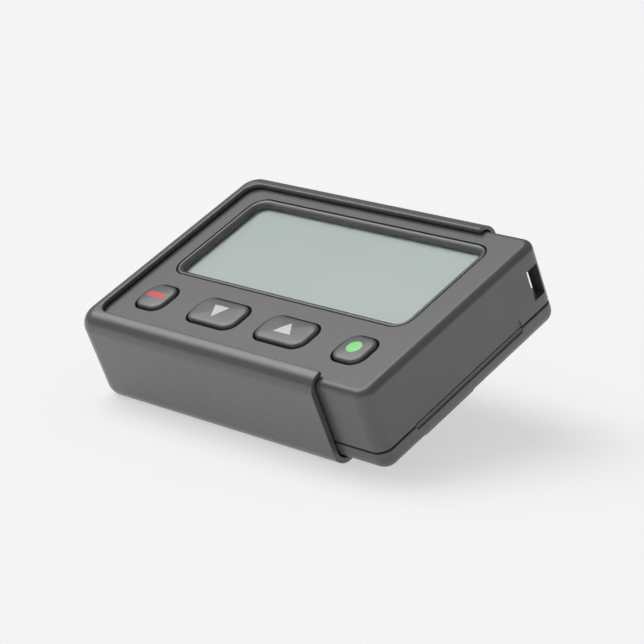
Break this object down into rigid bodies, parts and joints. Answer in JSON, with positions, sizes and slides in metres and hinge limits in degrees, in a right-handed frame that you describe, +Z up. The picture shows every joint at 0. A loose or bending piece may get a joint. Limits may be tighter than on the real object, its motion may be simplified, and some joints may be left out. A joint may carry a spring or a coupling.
{
  "type": "pager in belt holster",
  "caption": "Rectangular message pager with a wide display and a row of buttons, held in an open-ended belt holster with a sprung clip.",
  "frame": {"origin": "centre of the bounding box's bottom face, on the table, with the object lying on the holster's front edge and the clip's crown", "axes": "+X along the pager's length towards the holster's open end, +Y from the buttons towards the display's far edge, +Z up; the pager's face leans back 24.3 degrees about X from level"},
  "size_m": [0.0796, 0.057, 0.0391],
  "materials": {
    "housing_plastic": "fine matt texture",
    "holster_plastic": "smooth satin",
    "rim_plastic": "satin",
    "lens_acrylic": "clear polished",
    "lcd_glass": "grey-green reflective panel",
    "white_plastic": "diffuse white",
    "black_plastic": "moulded",
    "black_rubber": "matt",
    "board_laminate": "green solder resist",
    "chip_epoxy": "moulded epoxy",
    "flex_film": "amber polyimide",
    "steel": "nickel plated",
    "tungsten": "sintered",
    "copper": "bare copper strip",
    "cell_sleeve": "printed-free coloured can",
    "legend_red": "moulded-in mark",
    "legend_white": "moulded-in mark",
    "legend_green": "moulded-in mark"
  },
  "bodies": {
    "holster": {"holster_shell": "holster_plastic", "clip_bracket": "black_plastic", "rivet_left": "steel", "rivet_right": "steel", "clip_pin": "steel", "clip_spring": "steel"},
    "clip": {"clip_lever": "black_plastic"},
    "pager": {"front_housing": "housing_plastic", "rear_housing": "housing_plastic", "screw_front_left": "steel", "screw_front_right": "steel", "screw_far_left": "steel", "screw_far_right": "steel", "display_rim": "rim_plastic", "display_lens": "lens_acrylic", "lcd_panel": "lcd_glass", "lcd_frame": "black_plastic", "backlight_panel": "white_plastic", "zebra_connector": "black_rubber", "main_board": "board_laminate", "keypad_board": "board_laminate", "keypad_flex": "flex_film", "switch_power": "steel", "switch_down": "steel", "switch_up": "steel", "switch_select": "steel", "rf_shield": "steel", "processor_chip": "chip_epoxy", "crystal_can": "steel", "loop_antenna": "copper", "alert_speaker": "black_plastic", "motor_can": "steel", "motor_boot": "black_rubber", "battery_cell": "cell_sleeve", "contact_positive": "steel", "contact_negative": "steel"},
    "battery_door": {"battery_door": "housing_plastic"},
    "button_power": {"button_power": "housing_plastic", "legend_power": "legend_red"},
    "button_down": {"button_down": "housing_plastic", "legend_down": "legend_white"},
    "button_up": {"button_up": "housing_plastic", "legend_up": "legend_white"},
    "button_select": {"button_select": "housing_plastic", "legend_select": "legend_green"},
    "vibrator_rotor": {"motor_shaft": "steel", "eccentric_weight": "tungsten"}
  },
  "joints": [
    {"name": "pager_slide", "type": "slide", "parent": "holster", "child": "pager", "axis": [1, 0, 0], "range_m": [0, 0.068]},
    {"name": "battery_door_slide", "type": "slide", "parent": "pager", "child": "battery_door", "axis": [1, 0, 0], "range_m": [0, 0.058]},
    {"name": "clip_hinge", "type": "hinge", "parent": "holster", "child": "clip", "pos_m": [-0.0062, -0.00088, 0.00258], "axis": [-1, 0, 0], "range_deg": [0, 14], "stiffness_Nm_per_rad": 0.12, "springref_deg": -14.32, "deforming": ["clip_spring"]},
    {"name": "vibrator_spin", "type": "hinge", "parent": "pager", "child": "vibrator_rotor", "pos_m": [0.0058, -0.01728, 0.00999], "axis": [1, 0, 0], "continuous": true},
    {"name": "button_power_press", "type": "slide", "parent": "pager", "child": "button_power", "axis": [0, 0.4115, -0.9114], "range_m": [0, 0.0007], "stiffness_N_per_m": 1200, "springref_m": -0.0003},
    {"name": "button_down_press", "type": "slide", "parent": "pager", "child": "button_down", "axis": [0, 0.4115, -0.9114], "range_m": [0, 0.0007], "stiffness_N_per_m": 1200, "springref_m": -0.0003},
    {"name": "button_up_press", "type": "slide", "parent": "pager", "child": "button_up", "axis": [0, 0.4115, -0.9114], "range_m": [0, 0.0007], "stiffness_N_per_m": 1200, "springref_m": -0.0003},
    {"name": "button_select_press", "type": "slide", "parent": "pager", "child": "button_select", "axis": [0, 0.4115, -0.9114], "range_m": [0, 0.0007], "stiffness_N_per_m": 1200, "springref_m": -0.0003}
  ]
}
